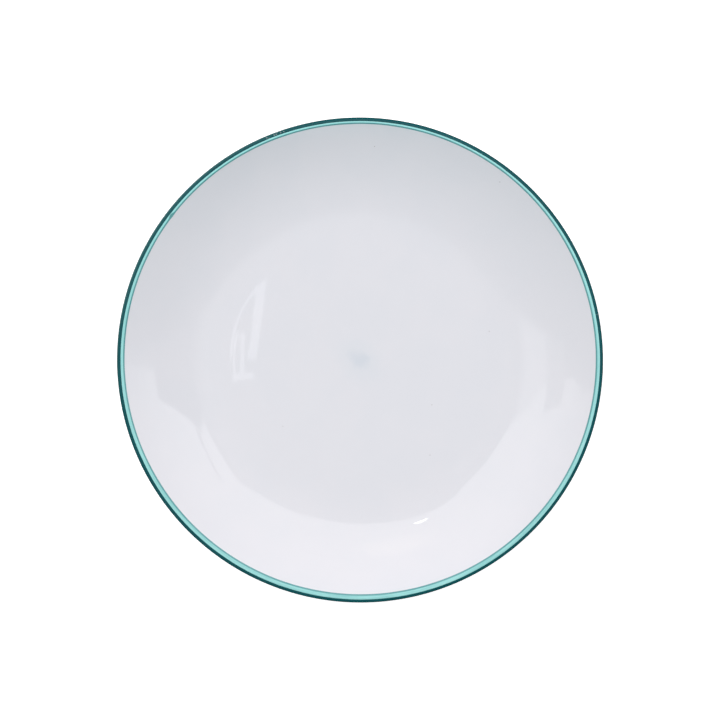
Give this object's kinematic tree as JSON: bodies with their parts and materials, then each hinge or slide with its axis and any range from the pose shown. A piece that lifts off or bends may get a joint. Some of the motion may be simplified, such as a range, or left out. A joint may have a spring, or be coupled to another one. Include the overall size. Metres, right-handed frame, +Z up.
{
  "type": "china dinner plate",
  "caption": "Shallow coupe dinner plate in glazed white porcelain, with a dark teal lip band, a paler aqua band and a fine dark line inside it, on a low bare foot ring.",
  "frame": {"origin": "centre of the foot ring's contact plane, which is the lowest plane of the plate", "axes": "+Z up out of the dish, along the axis the plate was turned about; +X and +Y across the plate"},
  "size_m": [0.267, 0.267, 0.0241],
  "materials": {
    "bisque": "matte",
    "clear_glaze": "polished",
    "teal_enamel": "gloss",
    "aqua_enamel": "gloss",
    "thin_teal_enamel": "gloss"
  },
  "bodies": {
    "root": {"porcelain_body": "bisque", "face_glaze": "clear_glaze", "back_glaze": "clear_glaze", "recess_glaze": "clear_glaze", "lip_band": "teal_enamel", "aqua_band": "aqua_enamel", "inner_line": "thin_teal_enamel"}
  },
  "joints": []
}
